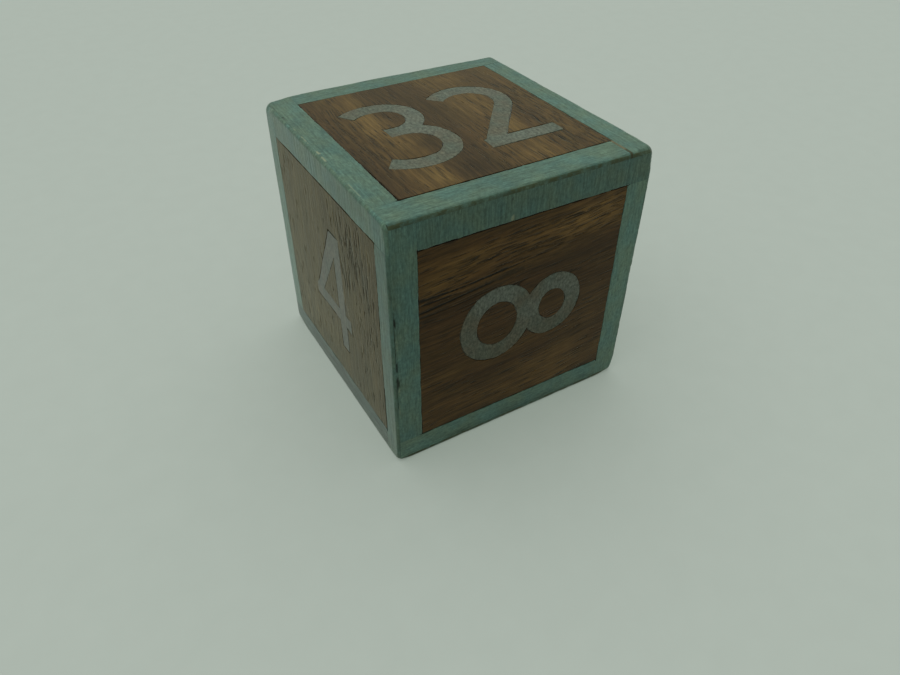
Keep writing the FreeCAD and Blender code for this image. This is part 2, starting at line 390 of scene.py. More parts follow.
class Skin:
    """The mesh of one piece of veneer, made from its outline and the relief of its face.

    Its layers are values from 0 to 1 at each point: rim is the burnt wall of a joint, end the cut
    end that shows along an arris, wear the rounding of an arris, pore an open pore, and pale a
    scuff, which is dark below 0."""

    def __init__(self, side, loops, joints, grain, relief, seed, steps=(0.1, 0.1), level=0.0):
        self.side, self.grain = side, grain
        rims = [resampled(loop, RIM_STEP) for loop in loops]
        widths = [joints.width(rim, seed + 11) for rim in rims]
        eases = [LEAST_EASE + EASE * smoothstep(0, LOOSE * 0.5, width - TIGHT) for width in widths]
        rim = [held(loop, moved_in(loop, width)) for loop, width in zip(rims, widths)]
        shoulder = [moved_in(loop, width + ease) for loop, width, ease in zip(rims, widths, eases)]
        field = lattice_points(rims, steps, seed)
        field = field[inside(field, shoulder)]
        field = field[inside(field, rim)]
        shoulder = np.concatenate(shoulder)
        shoulder = shoulder[inside(shoulder, rim)]  # in a sharp notch some would lie outside the piece
        tree = KDTree(len(shoulder))
        for number, point in enumerate(shoulder):
            tree.insert((*point, 0), number)
        tree.balance()
        field = field[[tree.find((*point, 0))[2] > CLEARANCE for point in field]]
        self.flat = np.concatenate(rim + [shoulder, field])
        self.outer = np.concatenate([on_arris(loop) for loop in rims])
        self.open = smoothstep(0, LOOSE * 0.8, np.concatenate(widths) - TIGHT)
        starts = np.cumsum([0] + [len(loop) for loop in rim])
        self.loops = [list(range(a, b)) for a, b in zip(starts, starts[1:])]
        self.faces = triangles(self.flat, self.loops)
        height, self.layers = relief(self, seed)
        self.height = np.minimum(height + level, 0)  # nothing stands out of the sanded face
        self.height[:len(self.outer)] -= np.concatenate(eases)
        self.build()

    def build(self):
        """Adds the walls and the back to the face, and brings the edges of the cube in."""
        top = self.side.solid(self.flat, self.height)
        rim_count = len(self.outer)
        rim = self.flat[:rim_count]
        rows = [top]
        for row in range(1, WALL_ROWS + 1):
            share = row / WALL_ROWS
            height = self.height[:rim_count] * (1 - share) - self.side.thickness * share
            rows.append(self.side.solid(rim, height))
        points, wear = rounded(np.concatenate(rows))
        faces = [self.faces]
        upper = 0
        for row in range(WALL_ROWS):
            lower = len(top) + row * rim_count
            for loop in self.loops:
                here, there = np.array(loop), np.roll(loop, -1)
                faces.append(np.stack([here + upper, here + lower, there + lower], 1))
                faces.append(np.stack([here + upper, there + lower, there + upper], 1))
            upper = lower
        back = triangles(rim, self.loops)
        faces.append(back[:, ::-1] + upper)
        self.points, self.all_faces = points, np.concatenate(faces)
        spare = len(points) - len(top)
        layers = {name: np.concatenate([values, np.zeros(spare)]) for name, values in self.layers.items()}
        layers["wear"] = wear
        layers["rim"] = np.zeros(len(points))
        layers["rim"][:rim_count] = self.open * ~self.outer
        layers["rim"][len(top):] = np.tile(~self.outer, WALL_ROWS)
        layers["end"] = np.zeros(len(points))
        layers["end"][len(top):] = np.tile(self.outer, WALL_ROWS)
        self.layers = layers
        across, along = self.grain.coordinates(self.side.flat(points))
        self.grained = np.stack([across, along, self.side.height(points)], 1)


def piece(name, skin, material, replaces, patches, offset=(0, 0, 0), tone=0.0):
    """The object that shows a skin and stands for its CAD node."""
    mesh = bpy.data.meshes.new(name)
    mesh.from_pydata((skin.points * MM).tolist(), [], skin.all_faces.tolist())
    mesh.polygons.foreach_set("use_smooth", [True] * len(mesh.polygons))
    mesh.set_sharp_from_angle(angle=math.radians(CREASE))
    flat = skin.side.flat(skin.points)
    # the tone layer holds the strip's tone and the patches: mostly the veneer's own colour, in places painted
    # light and painted shade
    layers = {"tone": tone + sum((patch.tone(flat) for patch in patches), np.zeros(len(flat))), **skin.layers}
    for layer, values in layers.items():
        attribute = mesh.attributes.new(layer, "FLOAT", "POINT")
        attribute.data.foreach_set("value", values.astype(np.float32))
    grain = mesh.attributes.new("grain", "FLOAT_VECTOR", "POINT")
    grain.data.foreach_set("vector", (skin.grained + np.array(offset)).astype(np.float32).ravel())
    mesh.materials.append(material)
    made = bpy.data.objects.new(name, mesh)
    bpy.context.scene.collection.objects.link(made)
    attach(made, "root")
    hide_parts(replaces)
    return made


class Grain:
    """The run of the fibres over a piece: upright or level, with a slope and a slow wave."""

    def __init__(self, upright, slope=0.0, wave=0.25, seed=0):
        self.upright, self.slope, self.wave, self.seed = upright, slope, wave, seed

    def coordinates(self, flat):
        """How far each point lies across the grain and along it."""
        across, along = (flat[:, 0], flat[:, 1]) if self.upright else (flat[:, 1], flat[:, 0])
        bend = noise(along / 7 + 0.3, across / 9, self.seed)
        bend = bend + 0.3 * noise(along / 2.3, across / 3, self.seed + 1)
        return across - self.slope * along + self.wave * bend, along


# Relief of the three kinds of veneer.

class Pores:
    """Open pores of walnut, as short grooves along the grain. A cluster is (across, along, spread
    across, spread along, how many, usual length, half-width)."""

    def __init__(self, clusters, seed):
        random = np.random.default_rng(seed)
        drawn = []
        for across, along, wide, long, count, length, width in clusters:
            drawn.append(np.stack([
                across + wide * random.uniform(-1, 1, count),
                along + long * random.uniform(-1, 1, count),
                length * random.uniform(0.35, 1.3, count) / 2,
                width * random.uniform(0.7, 1.3, count),
                random.uniform(0.45, 1.0, count),
            ], 1))
        self.grooves = np.concatenate(drawn)

    def depth(self, across, along):
        """How deep each point lies in a pore, from 0 to 1."""
        found = np.zeros(len(across))
        for centre, middle, reach, width, deep in self.grooves:
            near = (np.abs(across - centre) < 2.5 * width) & (np.abs(along - middle) < reach)
            ends = 1 - ((along[near] - middle) / reach) ** 4
            groove = deep * ends * np.exp(-((across[near] - centre) / width) ** 2)
            found[near] = np.maximum(found[near], groove)
        return found


class Patch:
    """A soft-edged part of a face that is coloured lighter or warmer (amount above 0) or darker (below
    0) than the rest of its piece. Most patches are the veneer's own colour; a few are painted light or
       painted shade."""

    def __init__(self, x, y, wide, high, amount):
        self.place, self.size, self.amount = np.array((x, y)), np.array((wide, high)), amount

    def tone(self, flat):
        rough = 0.35 * noise(flat[:, 0] * 0.6, flat[:, 1] * 0.6, 31)
        away = np.linalg.norm((flat - self.place) / self.size, axis=1)
        return self.amount * smoothstep(1.35, 0.35, away + rough)


class Mark:
    """A small chip, scuff or dark line at a place on a face, longer one way, that is paler (tint
    above 0) or darker (below 0) than the veneer round it."""

    def __init__(self, x, y, wide, high, depth, tint, ragged=0.5, slope=0.0):
        self.place, self.size = np.array((x, y)), np.array((wide, high))
        self.depth, self.tint, self.ragged, self.slope = depth, tint, ragged, slope

    def spread(self, flat):
        local = flat - self.place
        local = (local - np.outer(local[:, 0] * self.slope, (0, 1))) / self.size
        rough = self.ragged * noise(flat[:, 0] * 3.7, flat[:, 1] * 3.7, 77)
        return smoothstep(1.1, 0.5, np.linalg.norm(local, axis=1) + rough)


def marked(skin, marks):
    """The depth and the tint that the marks give to a skin's points."""
    dent, pale = np.zeros(len(skin.flat)), np.zeros(len(skin.flat))
    for mark in marks:
        found = mark.spread(skin.flat)
        dent += mark.depth * found
        pale += mark.tint * found
    return dent, pale


def walnut_relief(pores, marks):
    def relief(skin, seed):
        across, along = skin.grain.coordinates(skin.flat)
        fibre = noise(across * 5.1, along * 0.35, seed + 3) + 0.6 * noise(across * 9.7, along * 0.6, seed + 4)
        swell = noise(across * 0.3, along * 0.12, seed + 5)
        pore = pores.depth(across, along)
        dent, pale = marked(skin, marks)
        height = FIBRE_DEPTH * fibre + WALNUT_SWELL * swell - PORE_DEPTH * pore + WALNUT_LEVEL - dent
        return height, {"pore": pore, "pale": pale}
    return relief


def dyed_relief(fibre_depth, marks):
    def relief(skin, seed):
        across, along = skin.grain.coordinates(skin.flat)
        fibre = noise(across * 4.6, along * 0.3, seed + 3) + 0.7 * noise(across * 8.9, along * 0.7, seed + 4)
        swell = noise(across * 0.25, along * 0.15, seed + 5)
        dent, pale = marked(skin, marks)
        return fibre_depth * fibre + DYED_SWELL * swell - dent, {"pale": pale}
    return relief


# Materials.

class Graph:
    """The nodes of a material or world. Each call adds one node and gives its output."""

    def __init__(self, owner):
        owner.use_nodes = True
        self.owner, self.tree = owner, owner.node_tree
        self.tree.nodes.clear()

    def add(self, kind, inputs=None, output=0, **settings):
        node = self.tree.nodes.new("ShaderNode" + kind)
        for name, value in settings.items():
            setattr(node, name, value)
        for key, value in (inputs or {}).items():
            if isinstance(value, bpy.types.NodeSocket):
                self.tree.links.new(value, node.inputs[key])
            else:
                node.inputs[key].default_value = value
        return node.outputs[output] if node.outputs else None

    def grain(self):
        return self.add("Attribute", attribute_name="grain", output=1)

    def layer(self, name):
        return self.add("Attribute", attribute_name=name, output=2)

    def math(self, operation, first, second=0.0):
        return self.add("Math", {0: first, 1: second}, operation=operation)

    def span(self, value, low, high, to_low=0.0, to_high=1.0):
        """The value with low..high taken to to_low..to_high, and held there beyond them."""
        return self.add("MapRange", {"Value": value, "From Min": low, "From Max": high,
                                     "To Min": to_low, "To Max": to_high})

    def mix(self, share, first, second, blend="MIX"):
        return self.add("Mix", {0: share, 6: first, 7: second}, output=2, data_type="RGBA",
                        blend_type=blend)

    def shaded(self, colour, shade):
        """The colour made lighter or darker by a factor."""
        level = self.add("CombineColor", {0: shade, 1: shade, 2: shade})
        return self.mix(1.0, colour, level, "MULTIPLY")

    def noise(self, place, scale, detail=2.0, roughness=0.5):
        """Noise from 0 to 1 over the grain, with its own scale across it, along it and inwards."""
        spread = self.add("VectorMath", {0: place, 1: scale}, operation="MULTIPLY")
        return self.add("TexNoise", {"Vector": spread, "Scale": 1.0, "Detail": detail,
                                     "Roughness": roughness})

    def ramp(self, value, stops):
        ramp = self.add("ValToRGB", {0: value})
        elements = ramp.node.color_ramp.elements
        for place, colour in stops[1:-1]:
            elements.new(place).color = colour
        elements[0].position, elements[0].color = stops[0]
        elements[-1].position, elements[-1].color = stops[-1]
        return ramp

    def surface(self, colour, roughness, bump, bump_height, **sockets):
        normal = self.add("Bump", {"Height": bump, "Distance": bump_height * MM, "Strength": 1.0})
        shader = self.add("BsdfPrincipled", {"Base Color": colour, "Roughness": roughness,
                                             "Normal": normal, **sockets})
        self.add("OutputMaterial", {"Surface": shader})
        return self.owner

    def sanded(self, colour, roughness, bump, bump_height, fuzz, fuzz_tint=(1.0, 1.0, 1.0, 1.0)):
        """A bare sanded surface: hardly any gloss, and raised fibres that catch grazing light."""
        return self.surface(colour, roughness, bump, bump_height, **{
            "Specular IOR Level": 0.1, "Sheen Weight": fuzz, "Sheen Roughness": 0.3,
            "Sheen Tint": fuzz_tint})


def rgb(red, green, blue):
    return (red, green, blue, 1.0)


def blended(first, second, share):
    """A colour between two others."""
    return tuple(a + (b - a) * share for a, b in zip(first, second))


BURNT = rgb(0.009, 0.007, 0.004)
SCUFF = rgb(0.27, 0.29, 0.19)
HONEY = rgb(0.168, 0.104, 0.033)
WALNUT_DARK = rgb(0.031, 0.018, 0.0056)
WALNUT_LIGHT = rgb(0.109, 0.066, 0.0186)
BAND_REACH = 13.0       # the bands of a panel are given out to this far from its middle, at most
DARKENS_FROM, DARKENS_TO = 1.3, 0.8   # the putty begins to darken, and is fully darkened, this near the arris


def walnut(name, bands, stain_and_reflection_tint, contrast):
    """Walnut veneer. The bands give how light it is, from 0 to 1, across the panel. The stain
    colours it, and on the left face it also holds a painted reflection tint, greener and bluer; the contrast
    is that of its streaks and fibres."""
    graph = Graph(bpy.data.materials.new(name))
    place = graph.grain()
    across = graph.add("SeparateXYZ", {0: place})
    drift = graph.span(graph.noise(place, (0.2, 0.05, 0.2), 3), 0.2, 0.8, -1.2, 1.2)
    ragged = graph.span(graph.noise(place, (1.4, 0.06, 1.0), 3), 0.2, 0.8, -0.5, 0.5)
    shifted = graph.math("ADD", graph.math("ADD", across, drift), ragged)
    stops = [((at + BAND_REACH) / (2 * BAND_REACH), blended(WALNUT_DARK, WALNUT_LIGHT, light))
             for at, light in bands]
    colour = graph.ramp(graph.span(shifted, -BAND_REACH, BAND_REACH), stops)
    clouds = graph.noise(place, (0.4, 0.12, 0.3), 3)
    colour = graph.mix(graph.span(clouds, 0.35, 0.7, 0.0, 0.4), colour, rgb(0.058, 0.028, 0.011))
    tone = graph.layer("tone")
    colour = graph.mix(graph.math("MAXIMUM", tone, 0.0), colour, HONEY)
    shade = graph.math("ADD", graph.math("MINIMUM", tone, 0.0), 1.0)
    streaks = graph.noise(place, (2.1, 0.07, 1.0), 5, 0.62)
    streaks = graph.span(streaks, 0.3, 0.7, 1 - 0.36 * contrast, 1 + 0.36 * contrast)
    fibres = graph.noise(place, (4.6, 0.35, 2.0), 4, 0.7)
    fibres = graph.span(fibres, 0.27, 0.73, 1 - 0.4 * contrast, 1 + 0.4 * contrast)
    shade = graph.math("MULTIPLY", shade, graph.math("MULTIPLY", streaks, fibres))
    colour = graph.mix(1.0, graph.shaded(colour, shade), stain_and_reflection_tint, "MULTIPLY")
    clusters = graph.span(graph.noise(place, (0.35, 0.1, 0.3), 2), 0.4, 0.6, 0.15, 1.0)
    dashes = graph.span(graph.noise(place, (5.2, 0.4, 3.0), 2, 0.45), 0.57, 0.64)
    dashes = graph.math("MULTIPLY", dashes, clusters)
    colour = graph.mix(graph.math("MULTIPLY", dashes, 0.85), colour, rgb(0.015, 0.010, 0.0045))
    colour = graph.mix(graph.math("MULTIPLY", graph.layer("pore"), 0.92), colour, BURNT)
    colour = graph.mix(graph.math("MAXIMUM", graph.layer("pale"), 0.0), colour, SCUFF)
    colour = graph.mix(graph.math("MULTIPLY", graph.layer("pale"), -1.0), colour, BURNT)
    colour = graph.mix(graph.math("MULTIPLY", graph.layer("rim"), 0.9), colour, BURNT)
    roughness = graph.span(fibres, 0.7, 1.3, 0.46, 0.38)
    return graph.sanded(colour, roughness, graph.math("SUBTRACT", fibres, dashes), 0.012, 0.46,
                        rgb(0.99, 1.0, 0.79))


def teal(name):
    """Veneer dyed grey-teal, olive where its ends are cut and paler where it is worn."""
    graph = Graph(bpy.data.materials.new(name))
    place = graph.grain()
    fibres = graph.noise(place, (4.5, 0.35, 1.5), 4, 0.6)
    fine = graph.noise(place, (13.0, 0.9, 3.0), 3, 0.6)
    clouds = graph.noise(place, (0.4, 0.3, 0.5), 2)
    colour = graph.mix(graph.span(clouds, 0.35, 0.65), rgb(0.072, 0.136, 0.115), rgb(0.090, 0.140, 0.101))
    stipple = graph.span(graph.noise(place, (3.6, 2.2, 2.0), 3, 0.7), 0.3, 0.7, 0.75, 1.25)
    shade = graph.math("ADD", graph.span(fibres, 0.3, 0.7, 0.75, 1.25), graph.layer("tone"))
    shade = graph.math("MULTIPLY", shade, graph.span(fine, 0.3, 0.7, 0.82, 1.18))
    colour = graph.shaded(colour, graph.math("MULTIPLY", shade, stipple))
    specks = graph.noise(place, (3.2, 0.7, 2.0), 3, 0.7)
    colour = graph.mix(graph.span(specks, 0.62, 0.74, 0.0, 0.45), colour, rgb(0.033, 0.046, 0.031))
    rough = graph.noise(place, (0.9, 0.9, 0.9), 4, 0.65)
    olive = graph.math("MULTIPLY", graph.layer("end"), graph.span(rough, 0.38, 0.58, 0.2, 1.0))
    colour = graph.mix(graph.math("MULTIPLY", olive, 0.9), colour, rgb(0.052, 0.059, 0.025))
    worn = graph.math("MULTIPLY", graph.layer("wear"), graph.span(rough, 0.45, 0.68))
    colour = graph.mix(graph.math("MULTIPLY", worn, 0.4), colour, rgb(0.100, 0.122, 0.077))
    colour = graph.mix(graph.math("MAXIMUM", graph.layer("pale"), 0.0), colour, SCUFF)
    colour = graph.mix(graph.math("MULTIPLY", graph.layer("pale"), -1.0), colour, BURNT)
    colour = graph.mix(graph.math("MULTIPLY", graph.layer("rim"), 0.8), colour, rgb(0.020, 0.021, 0.011))
    roughness = graph.span(fibres, 0.3, 0.7, 0.48, 0.4)
    return graph.sanded(colour, roughness, graph.math("ADD", fibres, fine), 0.012, 0.65, rgb(0.97, 1.0, 0.95))


def grey(name):
    """Veneer dyed silver-grey, faintly mottled."""
    graph = Graph(bpy.data.materials.new(name))
    place = graph.grain()
    fibres = graph.noise(place, (5.0, 0.5, 2.0), 4, 0.6)
    clouds = graph.noise(place, (0.5, 0.35, 0.9), 3)
    tone = graph.layer("tone")
    colour = graph.mix(graph.span(clouds, 0.35, 0.65), rgb(0.082, 0.095, 0.072), rgb(0.098, 0.090, 0.062))
    colour = graph.mix(graph.math("MAXIMUM", tone, 0.0), colour, rgb(0.116, 0.130, 0.106))
    colour = graph.mix(graph.math("MULTIPLY", tone, -1.0), colour, rgb(0.066, 0.066, 0.038))
    stipple = graph.span(graph.noise(place, (3.4, 2.4, 2.0), 3, 0.7), 0.3, 0.7, 0.5, 1.56)
    fibred = graph.span(fibres, 0.25, 0.75, 0.78, 1.22)
    colour = graph.shaded(colour, graph.math("MULTIPLY", stipple, fibred))
    specks = graph.noise(place, (2.2, 1.6, 2.0), 3, 0.7)
    colour = graph.mix(graph.span(specks, 0.64, 0.76, 0.0, 0.35), colour, rgb(0.040, 0.040, 0.027))
    colour = graph.mix(graph.math("MAXIMUM", graph.layer("pale"), 0.0), colour, SCUFF)
    colour = graph.mix(graph.math("MULTIPLY", graph.layer("rim"), 0.75), colour, rgb(0.022, 0.019, 0.011))
    roughness = graph.span(clouds, 0.3, 0.7, 0.45, 0.37)
    return graph.sanded(colour, roughness, fibres, 0.008, 0.5)


def putty(name):
    """Dry tan putty, darker olive towards the edge of the cube."""
    graph = Graph(bpy.data.materials.new(name))
    place = graph.grain()
    along = graph.add("SeparateXYZ", {0: place}, output=1)
    mottle = graph.noise(place, (3.0, 2.0, 2.0), 4, 0.6)
    colour = graph.mix(graph.span(mottle, 0.35, 0.65), rgb(0.096, 0.094, 0.056), rgb(0.162, 0.136, 0.080))
    ragged = graph.math("ADD", along, graph.span(mottle, 0.3, 0.7, -0.3, 0.3))
    darkening = graph.span(ragged, DARKENS_FROM - HALF, DARKENS_TO - HALF, 0.0, 0.85)
    colour = graph.mix(darkening, colour, rgb(0.040, 0.045, 0.024))
    return graph.sanded(colour, 0.6, mottle, 0.02, 0.4)


def plain_wood(name, light, dark, scale):
    """Undyed wood with soft fibres."""
    graph = Graph(bpy.data.materials.new(name))
    place = graph.add("TexCoord", output=3)
    fibres = graph.noise(place, tuple(size / MM for size in scale), 4, 0.6)
    colour = graph.mix(graph.span(fibres, 0.3, 0.7), light, dark)
    return graph.surface(colour, 0.7, fibres, 0.02)


# For each face: whether its panel's grain runs upright, the slope of that grain, how light the wood
# is at distances across it, the clusters of open pores, the border strips whose grain runs across
# their length, the open gaps, the chips, scuffs and dark lines of its pieces, the lighter and darker
# patches of its walnut, its digits (bluer or more olive) and its strips, how light each strip is, how
# olive the cut ends of its strips are, and the stain and contrast of its walnut. Most patches and strip
# lightnesses are the veneers' own colour, but some on the front and left faces are painted light and
# painted shade, and the left face's stain is partly a painted reflection tint.
FACES = {
    "32": dict(
        upright=True, slope=0.0,
        bands=[(-12.5, 0.2), (-10.6, 0.3), (-8.6, 0.72), (-7.2, 0.85), (-6, 0.75), (-4.9, 0.3),
               (-3, 0.2), (-1.2, 0.2), (0.8, 0.38), (3, 0.65), (5.2, 0.9), (6.6, 0.85), (8, 0.5),
               (9.3, 0.42), (10.5, 0.66), (12.5, 0.56)],
        pores=[(-10, 1, 2.0, 7, 75, 2.2, 0.06), (9.5, -4, 2.6, 9, 170, 1.7, 0.075),
               (-1, -8, 3, 4, 30, 1.8, 0.05), (0, 0, 12, 12, 90, 1.2, 0.045)],
        crossed=(),
        gaps=[Gap((-14.7, 14), (-14.7, 6), 0.014), Gap((-12, -11.8), (-12, -5), 0.07),
              Gap((-12, -11.75), (-5, -11.75), 0.05), Gap((-5, -11.75), (12, -11.75), 0.035),
              Gap((-3.2, -4.5), (-1.9, -2.5), 0.03), Gap((1.2, -7.25), (9.8, -7.25), 0.025),
              Gap((3.2, -5.3), (9.5, -5.3), 0.025)],
        marks={
            "strip_32_left": [
                Mark(-14.6, 3.6, 0.12, 0.9, 0.02, 0.7), Mark(-14.55, 0.4, 0.2, 0.7, 0.02, 0.8),
                Mark(-14.6, -1.3, 0.13, 0.7, 0.02, 0.7), Mark(-14.6, 6.4, 0.09, 0.5, 0.02, 0.5),
                Mark(-14.6, 9.6, 0.15, 0.5, 0.03, -0.6), Mark(-14.6, 12.2, 0.12, 0.9, 0.03, -0.5),
                Mark(-14.6, -8.0, 0.09, 1.3, 0.01, 0.5),
            ],
        },
        patches=[Patch(-7.0, 3.3, 1.9, 2.8, 0.35), Patch(-6.3, -1.8, 1.8, 2.2, 0.28),
                 Patch(-7, -9.6, 1.5, 1.8, 0.32), Patch(3.9, 3.3, 1.5, 3.4, 0.22),
                 Patch(5.3, -3.0, 1.4, 1.7, 0.4), Patch(3.9, -10, 2.2, 1.4, 0.26),
                 Patch(5.2, 11.0, 1.8, 1.2, 0.15), Patch(-0.2, 4, 1.4, 5, -0.15),
                 Patch(-2.2, -9.5, 2.2, 2.4, -0.22), Patch(-4.6, -3.2, 1.6, 1.2, -0.2),
                 Patch(9.0, -10, 2.2, 1.6, -0.12)],
        hues=[Patch(-3, 3, 2.5, 5, 0.5), Patch(5, -6.5, 4, 1.5, 0.55), Patch(6, 5, 4, 3, 0.35),
              Patch(-7, -6.5, 2.4, 1.6, 0.2)],
        dyes_and_painted_light=[Patch(-13.3, 12, 1.6, 2.2, 0.12), Patch(-2, -13.2, 3, 1.2, -0.1),
              Patch(7, -13.4, 3, 1.2, 0.1), Patch(13.5, -7, 1.3, 4, 0.1),
              Patch(-13.6, -3, 1.2, 3, 0.08)],
        strips={"left": 0.0, "right": 0.04}, ends=1.0, stain_and_reflection_tint=(1.03, 0.99, 0.97), contrast=1.0,
    ),
    "64": dict(
        upright=False, slope=0.03,
        bands=[(-12.5, 0.4), (-8, 0.8), (-4, 0.45), (0, 0.2), (5, 0.5), (9, 0.75), (12.5, 0.3)],
        pores=[(3, 0, 8, 12, 130, 1.8, 0.05), (0, 0, 12, 12, 110, 1.2, 0.045)],
        crossed=("right",),
        gaps=[Gap((-12, -12), (5, -12), 0.04)],
        marks={},
        patches=[Patch(-6, 4, 4, 2, 0.25), Patch(6, -5, 5, 2, -0.15)],
        hues=[Patch(-5, 2, 3, 5, 0.4)],
        dyes_and_painted_light=[Patch(3, 13.5, 4, 1.2, 0.1)],
        strips={"left": -0.05}, ends=1.0, stain_and_reflection_tint=(1.0, 1.0, 1.0), contrast=1.0,
    ),
    "4": dict(
        upright=True, slope=-0.02,
        bands=[(-12.5, 0.55), (-9, 0.5), (-5, 0.55), (-1.5, 0.5), (1.5, 0.35), (3, 0.5), (5, 0.35),
               (8, 0.42), (11, 0.36), (12.5, 0.3)],
        pores=[(6.3, 6.5, 2.6, 4, 55, 1.9, 0.09), (9.5, 3, 2.3, 8, 50, 1.5, 0.075),
               (0, 0, 12, 12, 110, 1.4, 0.05)],
        crossed=("top",),
        gaps=[Gap((0.6, 7.25), (2.6, 7.25), 0.05), Gap((12.5, -12), (12.5, -6), 0.05),
              Gap((-8, 12), (12.5, 12), 0.03), Gap((2.9, -4.0), (3.9, -4.0), 0.03)],
        marks={},
        patches=[Patch(7.2, 1.5, 1.3, 4, 0.16), Patch(-2, -7.8, 4, 1.8, 0.1),
                 Patch(8, -8.5, 4, 3.5, -0.22), Patch(8, 5, 3, 4, -0.1),
                 # painted shade: Patch(-3, -11) darkens the lower part of the panel, as the light falls
                 # dimmer near the floor
                 Patch(-3, -11, 9, 1.5, -0.2), Patch(10.5, 9.5, 1.5, 1.2, 0.12)],
        hues=[Patch(2.5, 2, 1.5, 5, 0.2)],
        # painted shade: the first patch darkens the bottom strip, as the light falls dimmer near the floor
        dyes_and_painted_light=[Patch(0, -13.6, 12, 1.3, -0.22), Patch(-13.4, -2, 1.4, 9, 0.12),
              Patch(6, 13.5, 4, 1.2, -0.08)],
        # painted shade: the bottom strip's -0.45 stands for the dimmer light near the floor
        strips={"left": 0.2, "right": -0.1, "bottom": -0.45, "top": 0.08}, ends=0.0,
        # partly painted reflection: this stain is greener and bluer than the walnut's own colour, for the
        # greenish haze reflected off the left face
        stain_and_reflection_tint=(0.98, 1.09, 1.08), contrast=1.4,
    ),
    "16": dict(
        upright=True, slope=0.03,
        bands=[(-12.5, 0.25), (-8, 0.5), (-3, 0.85), (1, 0.5), (7, 0.3), (12.5, 0.5)],
        pores=[(-4, 2, 7, 9, 120, 1.8, 0.05), (0, 0, 12, 12, 110, 1.2, 0.045)],
        crossed=(),
        gaps=[Gap((12, -12), (12, 3), 0.04)],
        marks={},
        patches=[Patch(-3, 5, 2, 5, 0.25), Patch(6, -6, 2, 4, -0.15)],
        hues=[Patch(4, 2, 4, 4, 0.4)],
        dyes_and_painted_light=[Patch(-13.4, 4, 1.4, 5, 0.1)],
        strips={"top": 0.05}, ends=0.0, stain_and_reflection_tint=(1.0, 1.0, 1.0), contrast=1.0,
    ),
    "8": dict(
        upright=False, slope=0.07,
        bands=[(-12.5, 0.3), (-11, 0.52), (-8, 0.42), (-6.9, 0.3), (-6.2, 0.14), (-5.4, 0.32),
               (-4.4, 0.46), (-3, 0.3), (0, 0.24), (3, 0.2), (4.0, 0.13), (5.2, 0.16), (6.3, 0.43),
               (8, 0.66), (9.2, 0.78), (10.2, 0.45), (11, 0.28), (12.5, 0.3)],
        pores=[(8.4, 5, 1.8, 7, 130, 2.0, 0.065), (8.4, -6, 2.0, 6, 75, 1.8, 0.06),
               (5.2, -8.5, 0.75, 3, 9, 6.5, 0.075), (4.6, -3, 0.5, 4, 6, 3.0, 0.05),
               (0, 0, 12, 12, 80, 1.3, 0.04)],
        crossed=("top",),
        gaps=[Gap((-14.7, 5.5), (-14.7, -6.5), 0.05), Gap((-12, -12), (12, -12), 0.04),
              Gap((-12, 11.5), (12, 11.5), 0.03)],
        marks={
            "strip_8_left": [
                Mark(-14.55, 4.2, 0.12, 0.8, 0.05, -0.7), Mark(-14.45, 1.6, 0.09, 1.2, 0.03, 0.4),
                Mark(-14.55, -1.0, 0.13, 1.1, 0.05, -0.7),
                Mark(-14.55, -3.4, 0.16, 0.9, 0.06, -0.8), Mark(-14.45, -4.4, 0.1, 0.6, 0.03, 0.5),
                Mark(-14.5, -7.0, 0.07, 0.9, 0.02, 0.35), Mark(-14.45, 6, 0.25, 7, 0.0, -0.18, 0.3),
            ],
            "strip_8_top": [
                Mark(-2.0, 11.85, 0.3, 0.3, 0.04, 0.55), Mark(-2.1, 13.9, 0.16, 0.25, 0.03, -0.5),
            ],
            "panel_8": [
                Mark(-10.3, 5.9, 2.8, 0.17, 0.05, -1.0, 0.2),
                Mark(-4.6, 6.12, 4.8, 0.16, 0.05, -1.0, 0.2, 0.075),
                Mark(-10.2, 5.36, 3.2, 0.15, 0.05, -0.95, 0.25, 0.015),
                Mark(-10.2, 4.62, 3.2, 0.17, 0.05, -1.0, 0.2, 0.1),
                Mark(-5.8, 5.12, 2.8, 0.15, 0.03, -0.85, 0.3, 0.09),
                Mark(-2.6, 5.5, 3.2, 0.3, 0.02, -0.45, 0.4, 0.06),
                Mark(1.3, 6.65, 2.2, 0.1, 0.02, -0.7, 0.35, 0.08),
                Mark(-10.6, -5.4, 1.3, 0.1, 0.03, -0.9, 0.3),
                Mark(-11.3, -4.2, 0.8, 0.06, 0.03, -0.8, 0.3),
            ],
        },
        # partly painted light: Patch(7.8, 9.3) and Patch(9.6, -3) lighten the right of the walnut, partly its
        # own golden figure and partly the brighter light on the right of the front
        patches=[Patch(7.8, 9.3, 5.4, 2.0, 0.64), Patch(-3.3, 8.8, 6, 1.2, 0.16),
                 Patch(-9.7, 6.9, 2.6, 0.8, 0.14), Patch(-9.6, -4.7, 2.8, 0.55, 0.16),
                 Patch(-7.4, -6.4, 4.2, 0.6, -0.15), Patch(4.4, -9.1, 6.5, 2.6, 0.26),
                 Patch(9.6, -3, 1.6, 4, 0.05)],
        hues=[Patch(-3, 3.3, 3.4, 1.9, 0.75), Patch(5.5, 1.0, 3, 2.8, 0.6),
              Patch(-3, -4, 4, 1.5, -0.3), Patch(4, -3.2, 3, 1.2, -0.25),
              Patch(1, 0, 1.5, 1.5, 0.5)],
        # painted light: the first patch lightens the right strip, for the brighter light on the right of the
        # front
        dyes_and_painted_light=[Patch(13.6, 1, 1.4, 9, 0.15), Patch(-13.4, -5, 1.3, 5, 0.08),
              Patch(4, -13.5, 5, 1.1, -0.08), Patch(-3, 13, 6, 1.5, -0.04),
              # painted shade: this last patch darkens the bottom strip along its lower edge, where shade
              # falls beside the floor
              Patch(1, -15, 14, 1.3, -0.45)],
        # painted light: the right strip's 0.32 stands for the brighter light on the right of the front
        strips={"left": 0.1, "right": 0.32, "bottom": 0.26, "top": -0.03}, ends=0.6,
